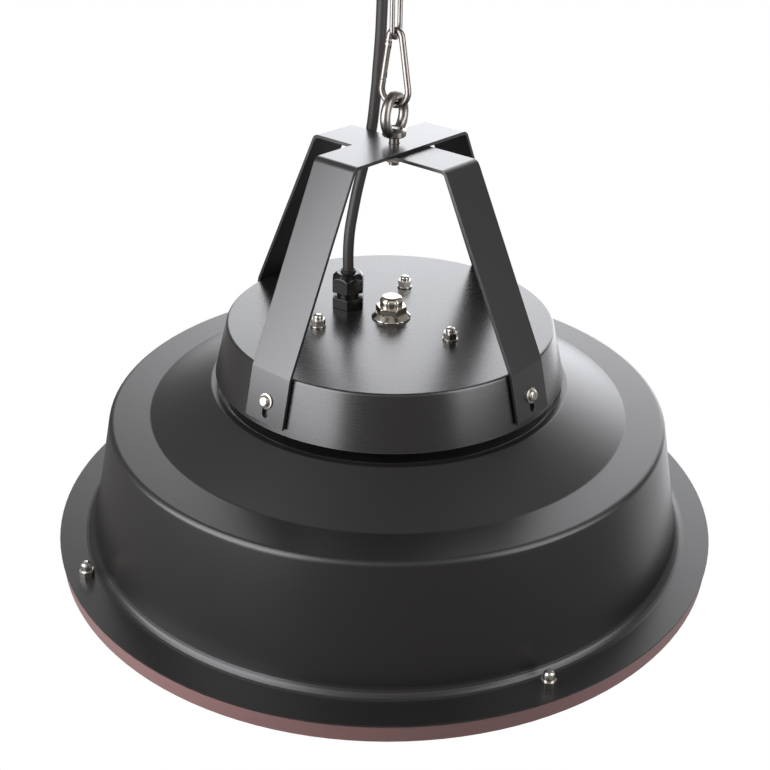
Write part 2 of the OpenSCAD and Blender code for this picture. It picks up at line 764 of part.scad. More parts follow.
// Foot screws: a thin rim under a domed head, and a shank through the strap and the housing
module foot_screws() color("silver") at_feet() {
    head_r = foot_head_d / 2;
    translate([0, 0, strap_t + seat]) rotate_extrude() polygon([[0, 0], [head_r, 0], [head_r, foot_rim_h],
        [foot_neck_r, foot_rim_h + seat], [foot_neck_r, foot_head_h * head_dome],
        [foot_neck_r * head_dome, foot_head_h],
        [0, foot_head_h]]);
    translate([0, 0, seat - foot_shank_l]) cylinder(r = foot_thread_d / 2, h = foot_shank_l + strap_t + into);
}

module foot_nuts() color("silver") at_feet()
    translate([0, 0, -housing_t - foot_nut_h - side_gap]) nut(foot_nut_w, foot_nut_h, foot_thread_d / 2 + pin_play);

// Housing
module top_housing() color([0.17, 0.17, 0.18]) difference() {
    spun([[0, disc_z, 0], [disc_r, disc_z, housing_bend_r], [base_r, base_z, 0]], housing_t);
    translate([gland_x, gland_y, 0]) drill(gland_thread_d / 2 + pin_play, disc_z);
    around(tie_angles, tie_r) drill(tie_d / 2 + hole_play, disc_z);
    drill(rod_d / 2 + hole_play, disc_z);
    at_feet() drill(foot_thread_d / 2 + foot_play, 0);
}

module housing_base() color("silver") difference() {
    spun([[0, base_plate_z, 0], [base_plate_r - base_skirt_lean, base_plate_z, base_bend_r],
        [base_plate_r, base_plate_z - base_skirt_h, 0]], base_plate_t);
    around(tie_angles, tie_r) drill(tie_d / 2 + hole_play, base_plate_z);
    drill(rod_d / 2 + hole_play, base_plate_z);
    at_leads() drill(lead_r + lead_play, base_plate_z);
    translate([earth_x, earth_y, 0]) drill(earth_d / 2 + hole_play, base_plate_z);
}

module tie_studs() color("silver") around(tie_angles, tie_r) {
    low = pan_z - bell_t - tie_nut_h - tie_end;
    translate([0, 0, low]) cylinder(r = tie_d / 2, h = disc_z + tie_washer_t + tie_nut_h - low);
}

module tie_washers() color("silver") around(tie_angles, tie_r) {
    translate([0, 0, disc_z]) washer(tie_washer_r, tie_washer_t, tie_d / 2 + washer_play);
}

module tie_nuts() color("silver") around(tie_angles, tie_r) {
    translate([0, 0, disc_z + tie_washer_t])
        dome_nut(tie_nut_w, tie_nut_h, tie_cap_r, tie_cap_h, tie_cap_bend_r, tie_d / 2 + pin_play);
    translate([0, 0, pan_z - bell_t - tie_nut_h]) nut(tie_nut_w, tie_nut_h, tie_d / 2 + pin_play);
}

// Tubes on the studs between the housing, its base plate and the bell
module tie_spacers() color("silver") around(tie_angles, tie_r) {
    spacer(base_plate_z, disc_z - housing_t, tie_spacer_r, tie_d / 2);
    spacer(pan_z, base_plate_z - base_plate_t, tie_spacer_r, tie_d / 2);
}

module spacer(from, to, r, inner_r) {
    translate([0, 0, from]) washer(r, to - from, inner_r + washer_play);
}

rod_low_z = dish_z - reflector_t - rod_washer_t - rod_hex_h - rod_end;

module center_rod() color("silver") translate([0, 0, rod_low_z])
    cylinder(r = rod_d / 2, h = disc_z + cap_flange_h + cap_hex_h - rod_low_z);

// Flange under the dome nut: a thin edge and a cone up to the nut
module center_washer() color("silver") translate([0, 0, disc_z]) rotate_extrude() polygon([
    [rod_d / 2 + washer_play, 0], [rod_washer_r, 0], [rod_washer_r, cap_flange_edge],
    [cap_flange_top_r, cap_flange_h], [rod_d / 2 + washer_play, cap_flange_h]]);

module center_nut() color("silver") translate([0, 0, disc_z + cap_flange_h])
    dome_nut(rod_nut_w, cap_hex_h, cap_dome_r, cap_dome_h, cap_dome_bend_r, rod_d / 2 + pin_play);

module center_spacers() color("silver") {
    spacer(base_plate_z, disc_z - housing_t, rod_spacer_r, rod_d / 2);
    spacer(pan_z, base_plate_z - base_plate_t, rod_spacer_r, rod_d / 2);
    spacer(shield_z, pan_z - bell_t, rod_spacer_r, rod_d / 2);
    spacer(dish_z, shield_z - shield_t, rod_spacer_r, rod_d / 2);
}

module rod_end_nut() color("silver") {
    washer_z = dish_z - reflector_t - rod_washer_t;
    translate([0, 0, washer_z]) washer(rod_washer_r, rod_washer_t, rod_d / 2 + washer_play);
    translate([0, 0, washer_z - rod_hex_h]) nut(rod_nut_w, rod_hex_h, rod_d / 2 + pin_play);
}

// Cable gland in the housing
module at_gland(z) {
    translate([gland_x, gland_y, z]) rotate([0, 0, gland_a]) children();
}

gland_nut_z = disc_z + gland_hex_h + gland_groove_h;
gland_nut_h = gland_h - gland_hex_h - gland_groove_h;

module gland_body() color([0.1, 0.1, 0.1]) at_gland(disc_z) difference() {
    union() {
        hexagon(gland_w, gland_hex_h);
        cylinder(r = gland_groove_r, h = gland_hex_h + gland_groove_h);
        cylinder(r = gland_neck_r, h = gland_hex_h + gland_groove_h + gland_neck_h);
        translate([0, 0, -housing_t - gland_tail]) cylinder(r = gland_thread_d / 2, h = housing_t + gland_tail + into);
    }
    translate([0, 0, -2 * gland_tail]) cylinder(r = cable_hole_r, h = 2 * gland_h + 2 * gland_tail);
}

// Nut of the gland: a hexagon whose upper end is turned off to a dome
module gland_nut() color([0.1, 0.1, 0.1]) at_gland(gland_nut_z) {
    corner_r = gland_w / 2 / cos(30) + blend_step;
    difference() {
        intersection() {
            hexagon(gland_w, gland_nut_h);
            rotate_extrude() polygon(concat([[0, 0]], reversed(rounded([[0, gland_nut_h, 0],
                [gland_roof_r, gland_nut_h, gland_roof_bend_r], [corner_r, gland_skirt_h, gland_bend_r],
                [corner_r, 0, 0]]))));
        }
        translate([0, 0, -past]) cylinder(r = gland_neck_r + foot_play, h = gland_nut_h - gland_roof + past);
        translate([0, 0, -past]) cylinder(r = gland_lip_r + foot_play, h = gland_nut_h + 2 * past);
    }
}

// Seal: a sleeve between the body and the nut, with a lip round the cable that shows above the nut
module gland_seal() color([0.05, 0.05, 0.05]) at_gland(gland_nut_z + gland_neck_h + seat) {
    sleeve_h = gland_nut_h - gland_neck_h - gland_roof - 2 * seat;
    washer(gland_neck_r, sleeve_h, cable_hole_r);
    washer(gland_lip_r, sleeve_h + gland_roof + seat + gland_lip_h, cable_hole_r);
}

module gland_locknut() color([0.1, 0.1, 0.1]) at_gland(disc_z - housing_t - locknut_h)
    nut(locknut_w, locknut_h, gland_thread_d / 2 + pin_play);

// Supply cable, in the three stretches that follow the heater, the snap hook and the link
module supply_cable_lower() color([0.12, 0.12, 0.12]) tube(CABLE_LOWER, CABLE_LOWER[0],
    CABLE_MIDDLE[1], cable_r, cable_sides);

module supply_cable_middle() color([0.12, 0.12, 0.12]) tube(CABLE_MIDDLE,
    CABLE_LOWER[len(CABLE_LOWER) - 2], CABLE_UPPER[1], cable_r, cable_sides);

module supply_cable_upper() color([0.12, 0.12, 0.12]) tube(CABLE_UPPER,
    CABLE_MIDDLE[len(CABLE_MIDDLE) - 2], CABLE_UPPER[len(CABLE_UPPER) - 1], cable_r, cable_sides);

// Wiring inside the housing
block_low_z = base_plate_z + seat;
block_top_z = block_low_z + block_h;
mouth_z = base_plate_z + mouth_rise;

module at_poles() {
    for (k = [-1, 0, 1]) translate([block_x + k * block_pitch, block_y, 0]) children();
}

module terminal_block() color("ivory") difference() {
    translate([block_x - block_l / 2, block_y - block_w / 2, block_low_z]) cube([block_l, block_w, block_h]);
    at_poles() translate([0, 0, block_top_z - well_h]) cylinder(r = well_r, h = well_h + past);
    at_poles() for (side = [-1, 1]) translate([0, side * block_w / 2, mouth_z]) rotate([-side * 90, 0, 0])
        translate([0, 0, -mouth_l - into]) cylinder(r = lead_r + side_gap, h = mouth_l + into + past);
}

module terminal_screws() color("gold") at_poles() difference() {
    translate([0, 0, block_top_z - well_h + seat]) cylinder(r = pole_screw_r, h = pole_screw_h);
    translate([-pole_screw_d, -pole_slot_w / 2, block_top_z - well_h + seat + pole_screw_h - past])
        cube([2 * pole_screw_d, pole_slot_w, 2 * past]);
}

module earth_screw() color("gold") translate([earth_x, earth_y, base_plate_z]) {
    cylinder(r = earth_d, h = earth_head_h);
    translate([0, 0, -base_plate_t - earth_end]) cylinder(r = earth_d / 2, h = base_plate_t + earth_end + into);
    translate([0, 0, -base_plate_t - earth_nut_h]) nut(earth_nut_w, earth_nut_h, past);
}

// Cores from the end of the supply cable: two to the block, one over the other, and one to the earth screw
module supply_cores() color("saddlebrown") {
    end = CABLE_LOWER[0];
    mouth_y = block_y + block_w / 2 - mouth_l;
    earth_z = base_plate_z + earth_head_h;
    for (k = [-1, 1]) {
        start = end + [k * core_step, -core_step / 2, 0];
        side_x = block_x + k * block_pitch;
        down_x = side_x - (k + 1) * core_back;
        run_z = mouth_z + (k + 1) * core_lift;
        bars([start, [start[0], start[1], run_z], [down_x, start[1], run_z], [down_x, start[1] - core_run, run_z],
            [side_x, mouth_y + core_lead, mouth_z], [side_x, mouth_y, mouth_z]], lead_r);
    }
    bars([end + [0, core_step + side_gap, 0], [end[0], end[1] + core_step + side_gap, earth_z],
        [earth_x, end[1] + core_step + side_gap, earth_z], [earth_x, earth_y + 2 * core_lift, earth_z],
        [earth_x, earth_y + earth_d + seat, earth_z]], lead_r);
}

// Where the lamp's two leads go up through the bell and the base plate
module at_leads() {
    for (side = [-1, 1]) translate([lead_rise_x, side * lead_rise_y, 0]) children();
}

module lamp_leads() color("white") for (side = [-1, 1]) {
    low_run_z = shield_z + lead_lift;
    run_z = base_plate_z + lead_run_rise + side * core_lift;
    run_y = block_y - block_w / 2 - lead_run_out + side * lead_run_gap;
    pole = [block_x + side * block_pitch, block_y - block_w / 2 + mouth_l, mouth_z];
    bars([[lamp_end_x, side * lamp_end_y, cap_top_z - cap_seat], [lamp_end_x, side * lamp_end_y, low_run_z],
        [lead_rise_x, side * lead_rise_y, low_run_z], [lead_rise_x, side * lead_rise_y, run_z],
        [lead_rise_x, run_y, run_z], [pole[0], run_y, run_z], [pole[0], pole[1] - core_lead / 2, pole[2]], pole],
        lead_r);
}

// Bell: flat pan inside a rounded lip, cone, shelf, shoulder, side wall and flange
module bell() color([0.16, 0.16, 0.17]) difference() {
    spun([[0, pan_z, 0], [lip_r - lip_top_w - lip_rise_w, pan_z, lip_bend_r], [lip_r - lip_top_w, lip_z, lip_bend_r],
        [lip_r, lip_z, lip_edge_r], [crease_r, crease_z, crease_bend_r], [shoulder_r, shoulder_z, shoulder_bend_r],
        [wall_r, flange_z, foot_bend_r], [rim_r, flange_z, 0]], bell_t);
    around(tie_angles, tie_r) drill(tie_d / 2 + hole_play, pan_z);
    drill(rod_d / 2 + hole_play, pan_z);
    at_leads() drill(lead_r + lead_play, pan_z);
    at_rim_screws() drill(rim_thread_d / 2 + hole_play, flange_z);
}

// Rim: an outer band with a lip below for the guard and a flange inside for the screws
function rim_in(z) = rim_out - rim_t - rim_taper * (rim_wall_z - z) / (rim_wall_z - low_z);

module rim_ring() color([0.45, 0.42, 0.41]) difference() {
    rotate_extrude() polygon([[rim_out, rim_wall_z], [rim_out - rim_taper, low_z], [rim_out - rim_lip_w, low_z],
        [rim_out - rim_lip_w, low_z + rim_t], [rim_in(low_z + rim_t), low_z + rim_t], [rim_in(rim_top_z), rim_top_z],
        [wall_r + rim_flange_in, rim_top_z], [wall_r + rim_flange_in, rim_top_z + rim_t],
        [rim_in(rim_top_z + rim_t), rim_top_z + rim_t], [rim_in(rim_wall_z), rim_wall_z]]);
    at_rim_screws() drill(rim_thread_d / 2 + hole_play, rim_top_z);
}

module rim_screws() color("silver") at_rim_screws() {
    head_z = rim_top_z - clip_t;
    translate([0, 0, head_z - rim_head_h]) rotate_extrude() polygon([[0, 0], [rim_head_r * head_dome, 0],
        [rim_head_r, rim_head_h / 2], [rim_head_r, rim_head_h], [0, rim_head_h]]);
    translate([0, 0, head_z - into]) cylinder(r = rim_thread_d / 2, h = flange_z + rim_nut_h - head_z + into);
}

module rim_nuts() color("silver") at_rim_screws() translate([0, 0, flange_z])
    dome_nut(rim_nut_w, rim_nut_h, rim_cap_r, rim_cap_h, rim_cap_bend_r, rim_thread_d / 2 + pin_play);

// Clips: a tab under the rim's flange and a foot that presses on the guard's outer ring
module guard_clips() color("silver") at_rim_screws() {
    reach = guard_r - rim_screw_r + clip_past;
    foot_z = guard_z + guard_wire / 2 + blend_step;
    difference() {
        translate([-clip_back, -clip_w / 2, rim_top_z - clip_t]) cube([clip_back + reach, clip_w, clip_t]);
        drill(rim_thread_d / 2 + hole_play, rim_top_z);
    }
    translate([reach - clip_foot_w, -clip_w / 2, foot_z])
        cube([clip_foot_w - clip_edge, clip_w, rim_top_z - clip_t / 2 - foot_z]);
}

// Guard: rings on spokes, with a small plate in the middle
module guard_grille() color("silver") {
    step = (guard_r - hub_wire_r) / guard_rings;
    for (k = [0 : guard_rings]) translate([0, 0, guard_z]) rotate_extrude()
        translate([hub_wire_r + k * step, 0]) circle(r = guard_wire / 2);
    for (k = [0 : guard_spokes - 1]) rotate([0, 0, 360 / guard_spokes * k])
        rod([hub_wire_r - spoke_in, 0, spoke_z], [guard_r, 0, spoke_z], spoke_wire / 2);
    translate([0, 0, spoke_z + spoke_wire / 2 - into]) cylinder(r = guard_hub_r, h = guard_hub_t);
}

// Reflector: a dish with a ring-shaped trough above the lamp and a flange that is clamped under the bell's
module reflector() color("gainsboro") difference() {
    spun([[0, dish_z, 0], [dish_r, dish_z, dish_bend_r], [trough_in_r, trough_z, trough_in_bend_r],
        [trough_out_r, trough_z, trough_out_bend_r], [wall_top_r, wall_top_z, wall_bend_r],
        [wall_foot_r, rim_wall_z, wall_foot_bend_r], [rim_in(rim_top_z) - side_gap, rim_wall_z, 0]], reflector_t);
    drill(rod_d / 2 + hole_play, dish_z);
    for (side = [-1, 1]) lamp_end(side) drill(cap_d / 2 + hole_play, trough_z);
    at_rim_screws() drill(rim_thread_d / 2 + hole_play, rim_wall_z);
}

module heat_shield() color("gainsboro") difference() {
    spun([[0, shield_z, 0], [shield_r, shield_z, shield_bend_r],
        [shield_r + shield_skirt_w, shield_z - shield_skirt_h, 0]], shield_t);
    drill(rod_d / 2 + hole_play, shield_z);
    for (side = [-1, 1]) lamp_end(side) drill(lead_r + lead_play, shield_z);
}

module lamp_end(side) {
    translate([lamp_end_x, side * lamp_end_y, 0]) children();
}

// Lamp: a ring of glass tube whose ends turn up into the caps. Its line is drawn as a solid of radius r.
module lamp_line(r, top) {
    over = blend_in / lamp_elbow_r * 180 / PI;
    elbow_z = lamp_mid_z + lamp_elbow_r;
    translate([0, 0, lamp_mid_z]) rotate([0, 0, lamp_end_a])
        rotate_extrude(angle = 360 - 2 * lamp_end_a) translate([lamp_r, 0]) circle(r = r);
    for (side = [-1, 1]) {
        from = side > 0 ? 180 : 270;
        rotate([0, 0, side * lamp_end_a]) translate([lamp_r, 0, elbow_z]) rotate([0, 0, 90])
            wire_arc(lamp_elbow_r, r - blend_step, from - over, from + 90 + over);
        lamp_end(side) translate([0, 0, elbow_z]) cylinder(r = r, h = top - elbow_z);
    }
}

module lamp_tube() color([0.75, 0.45, 0.2, 0.5]) difference() {
    lamp_line(lamp_d / 2, cap_low_z + cap_bore_h);
    lamp_line(lamp_d / 2 - lamp_wall, cap_low_z + cap_bore_h + past);
}

module lamp_coil() color("gold") {
    first = lamp_end_a + coil_start_a;
    span = 360 - 2 * first;
    translate([0, 0, lamp_mid_z]) rotate([0, 0, first]) {
        rotate_extrude(angle = span) translate([lamp_r, 0]) circle(r = coil_d / 2);
        for (a = [0 : support_step : span]) rotate([0, 0, a]) translate([lamp_r, support_t / 2, 0]) rotate([90, 0, 0])
            cylinder(r = support_r, h = support_t);
    }
}

module lamp_caps() color("white") for (side = [-1, 1]) lamp_end(side) difference() {
    union() {
        translate([0, 0, cap_low_z]) cylinder(r = cap_d / 2, h = cap_top_z - cap_low_z);
        translate([0, 0, trough_z + seat]) cylinder(r = cap_collar_r, h = cap_collar_h);
    }
    translate([0, 0, cap_low_z - past]) cylinder(r = lamp_d / 2 + seat, h = cap_bore_h + seat + past);
    translate([0, 0, cap_top_z - cap_seat - seat]) cylinder(r = lead_r + seat, h = cap_seat + seat + past);
}

// Spring clips that carry the ring under the reflector: a ring round the tube, a stem and a foot
module lamp_clips() color("silver") around(clip_angles, lamp_r) {
    clip_r = lamp_d / 2 + lamp_clip_play;
    stem_z = lamp_mid_z + clip_r + lamp_clip_t / 2;
    under_z = trough_z - reflector_t;
    translate([0, lamp_clip_w / 2, lamp_mid_z]) rotate([90, 0, 0]) washer(clip_r + lamp_clip_t, lamp_clip_w, clip_r);
    translate([0, 0, stem_z]) cylinder(r = lamp_stem_r, h = under_z - stem_z);
    translate([0, 0, under_z - lamp_clip_t]) cylinder(r = lamp_foot_r, h = lamp_clip_t);
}

ceiling_plate();
ceiling_canopy();
ceiling_hook();
canopy_nut();
canopy_gland();
chain_link();
snap_hook();
hook_gate();
gate_pin();
eye_bolt();
eye_nut();
eye_washer();
strap_upper();
strap_lower();
foot_screws();
foot_nuts();
top_housing();
housing_base();
tie_studs();
tie_washers();
tie_nuts();
tie_spacers();
center_rod();
center_nut();
center_washer();
center_spacers();
rod_end_nut();
gland_body();
gland_nut();
gland_seal();
gland_locknut();
supply_cable_lower();
supply_cable_middle();
supply_cable_upper();
supply_cores();
terminal_block();
terminal_screws();
earth_screw();
bell();
rim_ring();
rim_screws();
rim_nuts();
guard_clips();
guard_grille();
reflector();
heat_shield();
lamp_tube();
lamp_coil();
lamp_caps();
lamp_clips();
lamp_leads();
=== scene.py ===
"""Hanging patio heater: camera, supply cable, finishes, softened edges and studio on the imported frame."""
import json
import math
import bmesh
import bpy
from mathutils import Matrix, Vector

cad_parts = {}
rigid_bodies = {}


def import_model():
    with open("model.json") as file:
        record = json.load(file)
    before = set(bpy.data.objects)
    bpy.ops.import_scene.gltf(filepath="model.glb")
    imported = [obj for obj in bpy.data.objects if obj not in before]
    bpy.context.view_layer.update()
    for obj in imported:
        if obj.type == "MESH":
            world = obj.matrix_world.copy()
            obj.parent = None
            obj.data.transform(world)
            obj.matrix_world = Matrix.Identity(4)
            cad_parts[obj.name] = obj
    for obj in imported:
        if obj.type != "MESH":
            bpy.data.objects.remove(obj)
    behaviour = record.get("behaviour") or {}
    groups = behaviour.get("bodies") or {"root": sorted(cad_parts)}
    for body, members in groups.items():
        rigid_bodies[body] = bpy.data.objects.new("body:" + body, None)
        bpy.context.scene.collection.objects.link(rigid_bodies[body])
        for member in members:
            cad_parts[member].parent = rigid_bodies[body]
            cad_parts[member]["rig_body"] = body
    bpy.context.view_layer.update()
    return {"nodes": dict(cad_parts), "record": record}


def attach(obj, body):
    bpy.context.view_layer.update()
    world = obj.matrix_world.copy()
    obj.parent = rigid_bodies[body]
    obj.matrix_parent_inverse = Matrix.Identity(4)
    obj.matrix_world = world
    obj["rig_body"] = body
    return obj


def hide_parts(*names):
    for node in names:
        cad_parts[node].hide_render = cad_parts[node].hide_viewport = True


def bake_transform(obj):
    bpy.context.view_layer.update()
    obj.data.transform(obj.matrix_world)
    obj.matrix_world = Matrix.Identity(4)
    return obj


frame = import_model()
nodes = frame["nodes"]
scene = bpy.context.scene

# Camera: matched to the photograph, in a frame turned by CAMERA_TURN and with the rim's underside at z 0
PHOTO_SIZE = 770
FOCAL_LENGTH = 1211.7
VIEW_CENTRE = (429.5, 365.1)
FILM_WIDTH = 36
CAMERA_TURN = math.radians(-49.5)
PITCH, ROLL, YAW = math.radians(27.44), math.radians(1.96), math.radians(2.09)
CAMERA_PLACE = (0, -0.6837, 0.4681)
RIM_BOTTOM = -0.410


def make_camera():
    forward = Vector((math.sin(YAW) * math.cos(PITCH), math.cos(YAW) * math.cos(PITCH), -math.sin(PITCH)))
    level = Vector((math.cos(YAW), -math.sin(YAW), 0))
    upright = level.cross(forward)
    right = level * math.cos(ROLL) + upright * math.sin(ROLL)
    up = upright * math.cos(ROLL) - level * math.sin(ROLL)
    data = bpy.data.cameras.new("camera")
    data.sensor_width = FILM_WIDTH
    data.lens = FILM_WIDTH * FOCAL_LENGTH / PHOTO_SIZE
    data.shift_x = (PHOTO_SIZE / 2 - VIEW_CENTRE[0]) / PHOTO_SIZE
    data.shift_y = (VIEW_CENTRE[1] - PHOTO_SIZE / 2) / PHOTO_SIZE
    data.clip_start, data.clip_end = 0.01, 20
    camera = bpy.data.objects.new("camera", data)
    scene.collection.objects.link(camera)
    axes = Matrix((right, up, -forward)).transposed().to_4x4()
    turned = Matrix.Translation((0, 0, RIM_BOTTOM)) @ Matrix.Rotation(CAMERA_TURN, 4, "Z")
    camera.matrix_world = turned @ Matrix.Translation(CAMERA_PLACE) @ axes
    scene.camera = camera


make_camera()


def mesh_object(name, bm):
    bmesh.ops.recalc_face_normals(bm, faces=bm.faces)
    mesh = bpy.data.meshes.new(name)
    bm.to_mesh(mesh)
    bm.free()
    made = bpy.data.objects.new(name, mesh)
    scene.collection.objects.link(made)
    return made


# Supply cable: the route of part.scad, in metres, as three tubes that each run across one joint
CABLE_LOWER = [(-.005, .0316, -.275), (-.005, .0316, -.262), (-.005, .0316, -.250), (-.005, .0316, -.238),
    (-.0046, .032, -.230), (-.0034, .0326, -.2215), (-.0012, .0334, -.213), (.0024, .0343, -.2035),
    (.0066, .0352, -.193), (.011, .0357, -.1825), (.0148, .0357, -.1725), (.0178, .0352, -.1625),
    (.0194, .0344, -.153), (.0198, .0333, -.1435), (.0196, .0319, -.134), (.0192, .0306, -.126),
    (.0188, .0296, -.118)]
CABLE_MIDDLE = [(.0188, .0296, -.118), (.0182, .028, -.107), (.0176, .0266, -.096), (.0172, .0257, -.085),
    (.0168, .025, -.075)]
CABLE_UPPER = [(.0168, .025, -.075), (.0165, .0245, -.065), (.0162, .0242, -.055), (.016, .024, -.045),
    (.016, .024, -.035), (.016, .024, -.025), (.016, .024, -.012)]
CABLE_R = 0.0034
CABLE_SIDES = 28
CABLE_END_RING = 0.00005
ROUTE_STEPS = 4
GLAND_MOUTH = 2     # the point of CABLE_LOWER where the cable leaves its gland
# Heights on the heater's axis between which each stretch would go over from its lower body to its upper one
LOWER_BEND = (-.152, -.118)
MIDDLE_BEND = (-.112, -.078)
UPPER_BEND = (-.075, -.034)


def smooth_route(points, before=None, after=None):
    """A Catmull-Rom line through the points; before and after are the neighbours beyond its ends."""
    p = [Vector(q) for q in points]
    p = [Vector(before) if before else 2 * p[0] - p[1]] + p + [Vector(after) if after else 2 * p[-1] - p[-2]]
    line = []
    for i in range(1, len(p) - 2):
        a, b, c, d = p[i - 1:i + 3]
        for k in range(ROUTE_STEPS):
            t = k / ROUTE_STEPS
            line.append(0.5 * (2 * b + (c - a) * t + (2 * a - 5 * b + 4 * c - d) * t * t
                + (3 * b - a - 3 * c + d) * t ** 3))
    return line + [p[-2]]


def cable_tube(name, route, way_in, way_out):
    """A closed round tube; a second ring close to each end keeps the shading straight up to it."""
    last = len(route) - 1
    ways = [(route[min(i + 1, last)] - route[max(i - 1, 0)]).normalized() for i in range(last + 1)]
    ways[0], ways[-1] = way_in or ways[0], way_out or ways[-1]
    stations = list(zip(route, ways))
    stations.insert(1, (route[0] + ways[0] * CABLE_END_RING, ways[0]))
    stations.insert(-1, (route[-1] - ways[-1] * CABLE_END_RING, ways[-1]))
    turns = [2 * math.pi * side / CABLE_SIDES for side in range(CABLE_SIDES)]
    bm = bmesh.new()
    rings = []
    for middle, way in stations:
        u = way.cross(Vector((0, 1, 0))).normalized()
        v = way.cross(u)
        rings.append([bm.verts.new(middle + CABLE_R * (math.cos(a) * u + math.sin(a) * v)) for a in turns])
    for a, b in zip(rings, rings[1:]):
        for s in range(CABLE_SIDES):
            t = (s + 1) % CABLE_SIDES
            bm.faces.new((a[s], a[t], b[t], b[s])).smooth = True
    bm.faces.new(rings[0])
    bm.faces.new(rings[-1][::-1])
    return mesh_object(name, bm)


def length_of(route):
    return sum((b - a).length for a, b in zip(route, route[1:]))


def make_cables():
    lower = smooth_route(CABLE_LOWER, after=CABLE_MIDDLE[1])
    middle = smooth_route(CABLE_MIDDLE, before=CABLE_LOWER[-2], after=CABLE_UPPER[1])
    upper = smooth_route(CABLE_UPPER, before=CABLE_MIDDLE[-2])
    low_cut = (Vector(CABLE_MIDDLE[1]) - Vector(CABLE_LOWER[-2])).normalized()
    high_cut = (Vector(CABLE_UPPER[1]) - Vector(CABLE_MIDDLE[-2])).normalized()
    made = []
    for name, route, way_in, way_out, bodies, bend, exit_at, node in (
            ("cable_lower", lower, None, low_cut, ("heater", "snap"), LOWER_BEND,
                lower[ROUTE_STEPS * GLAND_MOUTH], "supply_cable_lower"),
            ("cable_middle", middle, low_cut, high_cut, ("snap", "link"), MIDDLE_BEND,
                middle[0], "supply_cable_middle"),
            ("cable_upper", upper, high_cut, None, ("link", "ceiling"), UPPER_BEND,
                upper[0], "supply_cable_upper")):
        cable = cable_tube(name, route, way_in, way_out)
        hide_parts(node)
        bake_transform(cable)
        length_of(route)
        made.append(cable)
    return made


cables = make_cables()


# Node trees: values that can be added, multiplied and mixed, and one method that adds any other node
def found(tree, kind):
    return next(n for n in tree.nodes if n.type == kind)


class Value:
    """What comes out of a node's socket."""

    def __init__(self, graph, socket):
        self.graph, self.socket = graph, socket

    def out(self, key):
        """Another output of the same node."""
        return Value(self.graph, self.socket.node.outputs[key])

    def maths(self, operation, *terms, clamp=False):
        return self.graph.add("ShaderNodeMath", {"operation": operation, "use_clamp": clamp},
            dict(enumerate(terms)))

    def __add__(self, other):
        return self.maths("ADD", self, other)

    __radd__ = __add__

    def __sub__(self, other):
        return self.maths("SUBTRACT", self, other)

    def __rsub__(self, other):
        return self.maths("SUBTRACT", other, self)

    def __mul__(self, other):
        return self.maths("MULTIPLY", self, other)

    __rmul__ = __mul__

    def __truediv__(self, other):
        return self.maths("DIVIDE", self, other)

    def __rtruediv__(self, other):
        return self.maths("DIVIDE", other, self)

    def power(self, exponent):
        return self.maths("POWER", self, exponent)

    def clamped(self):
        return self.maths("ADD", self, 0.0, clamp=True)

    def swing(self, amount):
        """For a noise round 0.5: half of amount to either side of 0."""
        return (self - 0.5) * amount

    def angle_from(self, along):
        """The angle of the direction (along, self), in degrees."""
        return self.maths("ARCTAN2", self, along) * math.degrees(1)

    def step(self, low, high, at_low=0.0, at_high=1.0):
        """Goes smoothly from at_low to at_high between low and high."""
        return self.graph.add("ShaderNodeMapRange", {"interpolation_type": "SMOOTHSTEP"},
            dict(enumerate((self, low, high, at_low, at_high))))

    def window(self, rise_from, rise_to, fall_from, fall_to):
        """1 between rise_to and fall_from, and 0 outside, with soft edges."""
        return self.step(rise_from, rise_to) * self.step(fall_from, fall_to, 1.0, 0.0)


class Graph:
    """A node tree under construction."""

    def __init__(self, tree):
        self.tree = tree

    def fill(self, socket, x):
        """Links a value to a socket, or sets a plain number, colour, shape or material on it."""
        if isinstance(x, Value):
            self.tree.links.new(x.socket, socket)
        elif socket.type == "RGBA" and len(x) == 3:
            socket.default_value = (*x, 1.0)
        else:
            socket.default_value = x

    def add(self, kind, settings=None, sockets=None):
        """Adds a node, with its settings first and then its sockets, and gives its first output."""
        n = self.tree.nodes.new(kind)
        for key, setting in (settings or {}).items():
            setattr(n, key, setting)
        for key, x in (sockets or {}).items():
            self.fill(n.inputs[key], x)
        return Value(self, n.outputs[0]) if len(n.outputs) else None


MIX_FACTOR, MIX_A, MIX_B, MIX_RESULT = 0, 6, 7, 2
# Lines left by spinning and brushing: how fast they change along themselves and across, and what a step down a
# wall counts against a step outwards on a disc
LINES_ALONG, LINES_ACROSS, LINES_DOWN = 4.0, 1500.0, 1.7


